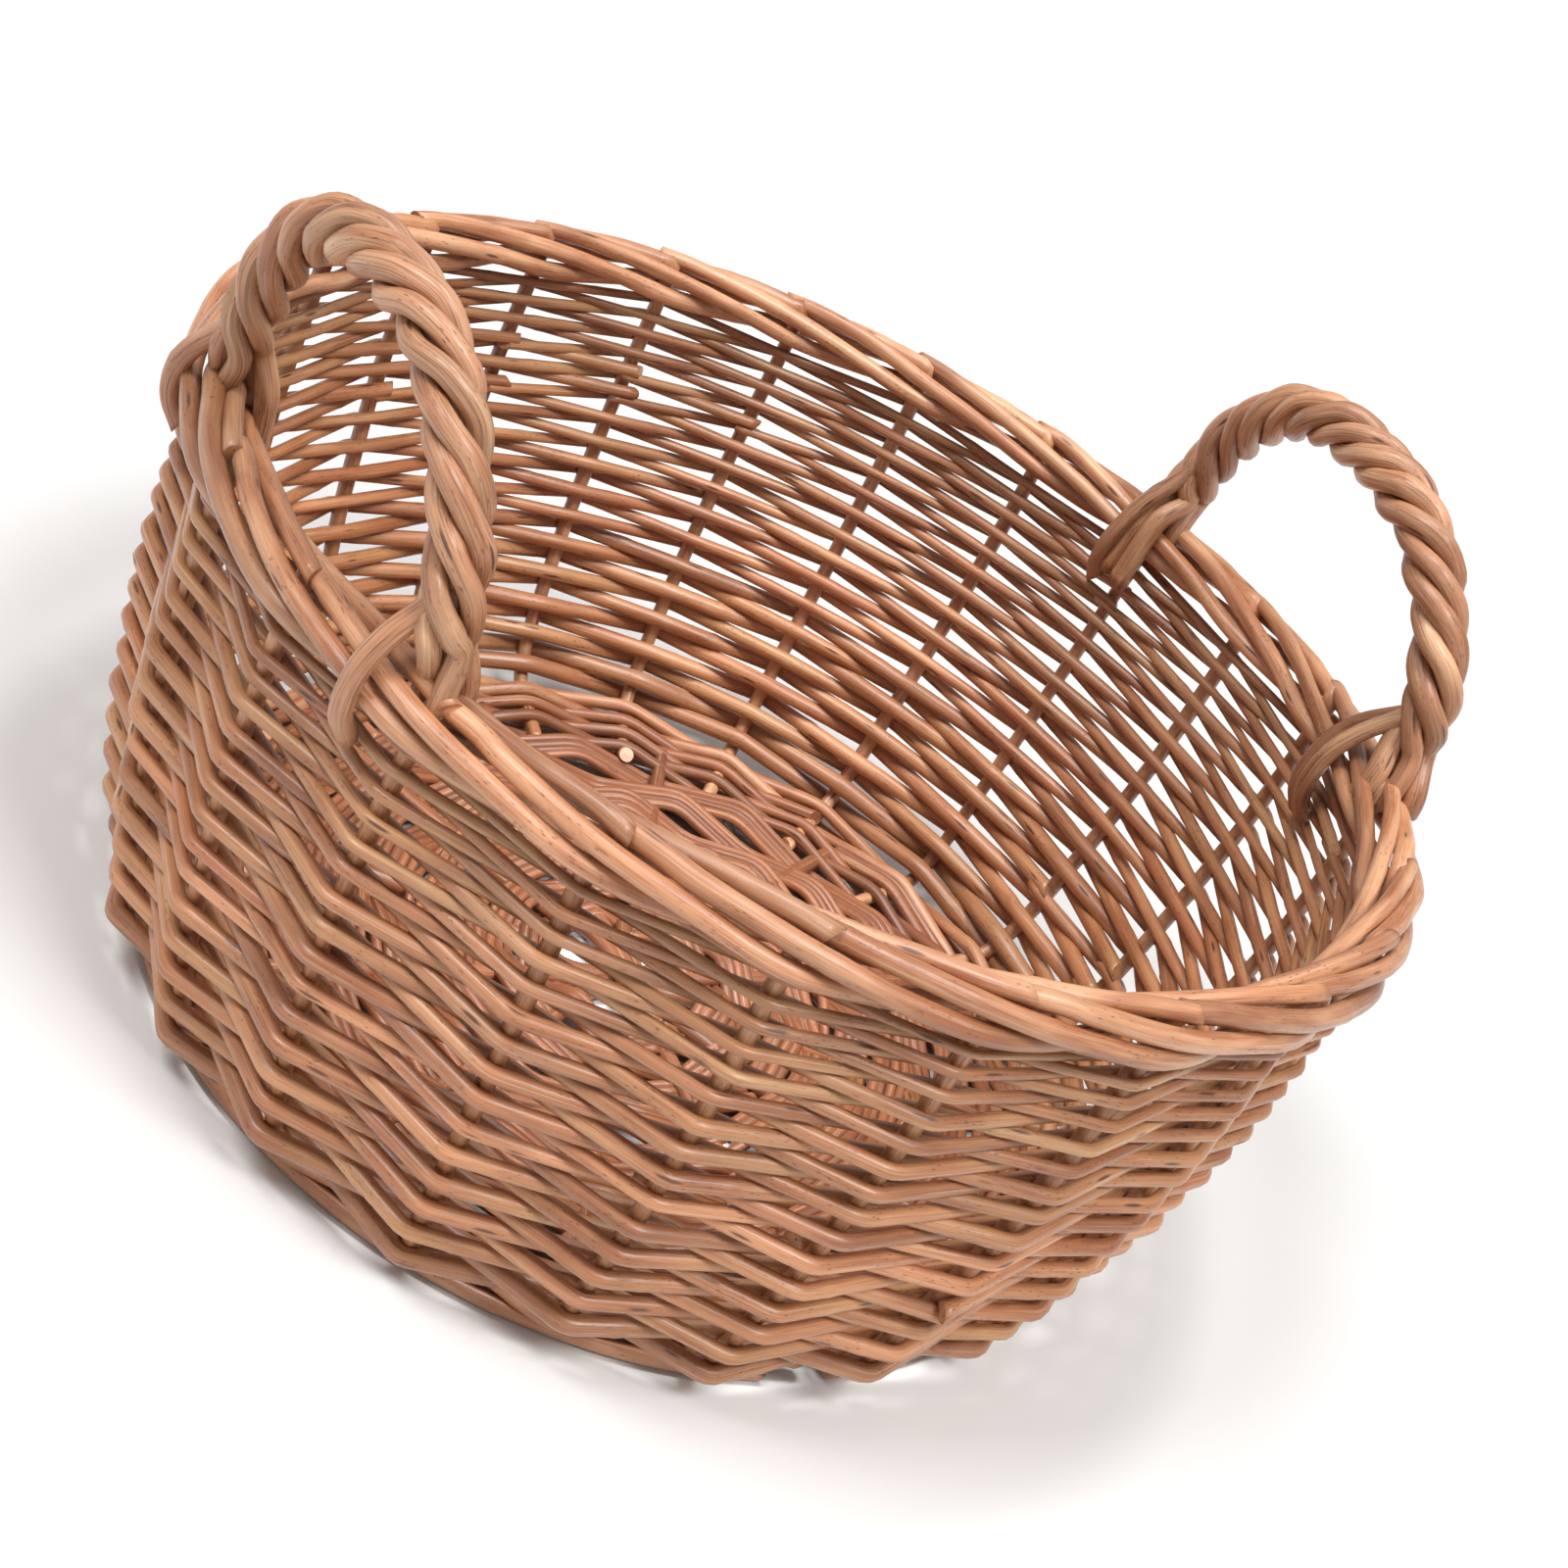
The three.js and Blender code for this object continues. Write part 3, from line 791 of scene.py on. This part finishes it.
CAMERA_AIM = (9.2, -8.4, 79.6)
CAMERA_AZIMUTH = -132.4
CAMERA_ELEVATION = 29.46
CAMERA_DISTANCE = 591.5
CAMERA_ROLL = 28.96
CAMERA_LENS = 54.72

# Metres, and shares of full white
FLOOR_HALF = 30.0
FLOOR_WHITE = 0.72
SKY_STRENGTH = 0.46
SUN_ANGLE = 20
LAMP_HEIGHT = 0.85


def towards(azimuth, elevation):
    """The direction out of the basket at two angles, in degrees."""
    a, e = math.radians(azimuth), math.radians(elevation)
    return Vector((math.cos(e) * math.cos(a), math.cos(e) * math.sin(a), math.sin(e)))


def add(name, data):
    ob = bpy.data.objects.new(name, data)
    bpy.context.scene.collection.objects.link(ob)
    return ob


def add_camera():
    data = bpy.data.cameras.new("camera")
    data.sensor_width = 36
    data.lens = CAMERA_LENS
    data.clip_start = 0.01
    camera = add("camera", data)
    back = towards(CAMERA_AZIMUTH, CAMERA_ELEVATION)
    place = Matrix.Translation(Vector(CAMERA_AIM) * MM + back * CAMERA_DISTANCE * MM)
    roll = Matrix.Rotation(math.radians(CAMERA_ROLL), 4, "Z")
    camera.matrix_world = place @ back.to_track_quat("Z", "Y").to_matrix().to_4x4() @ roll
    bpy.context.scene.camera = camera


def add_floor():
    mesh = bpy.data.meshes.new("floor")
    corners = [(-1, -1), (1, -1), (1, 1), (-1, 1)]
    mesh.from_pydata([(x * FLOOR_HALF, y * FLOOR_HALF, 0) for x, y in corners], [], [(0, 1, 2, 3)])
    paint = bpy.data.materials.new("floor_white")
    paint.use_nodes = True
    inputs = paint.node_tree.nodes["Principled BSDF"].inputs
    inputs["Base Color"].default_value = (FLOOR_WHITE, FLOOR_WHITE, FLOOR_WHITE, 1)
    inputs["Roughness"].default_value = 0.9
    mesh.materials.append(paint)
    floor = add("floor", mesh)


def add_sky():
    world = bpy.data.worlds.new("studio")
    world.use_nodes = True
    inputs = world.node_tree.nodes["Background"].inputs
    inputs["Color"].default_value = (1, 0.99, 0.98, 1)
    inputs["Strength"].default_value = SKY_STRENGTH
    bpy.context.scene.world = world


def add_sun(name, azimuth, elevation, strength, colour):
    light = bpy.data.lights.new(name, "SUN")
    light.angle = math.radians(SUN_ANGLE)
    light.energy = strength
    light.color = colour
    add(name, light).rotation_euler = towards(azimuth, elevation).to_track_quat("Z", "Y").to_euler()


def add_lamp():
    """A soft lamp over the mouth, for the inside."""
    lamp = bpy.data.lights.new("inside", "SPOT")
    lamp.energy = 20
    lamp.spot_size = math.radians(25)
    lamp.spot_blend = 0.4
    lamp.shadow_soft_size = 0.12
    add("inside", lamp).location = (0, 0, LAMP_HEIGHT)


def studio():
    add_camera()
    add_floor()
    add_sky()
    add_sun("key_right", -82, 60, 2.3, (1, 0.99, 0.97))
    add_sun("key_left", 168, 60, 1.8, (1, 0.99, 0.98))
    add_lamp()
    bpy.context.scene.view_settings.view_transform = "Standard"


studio()
build()
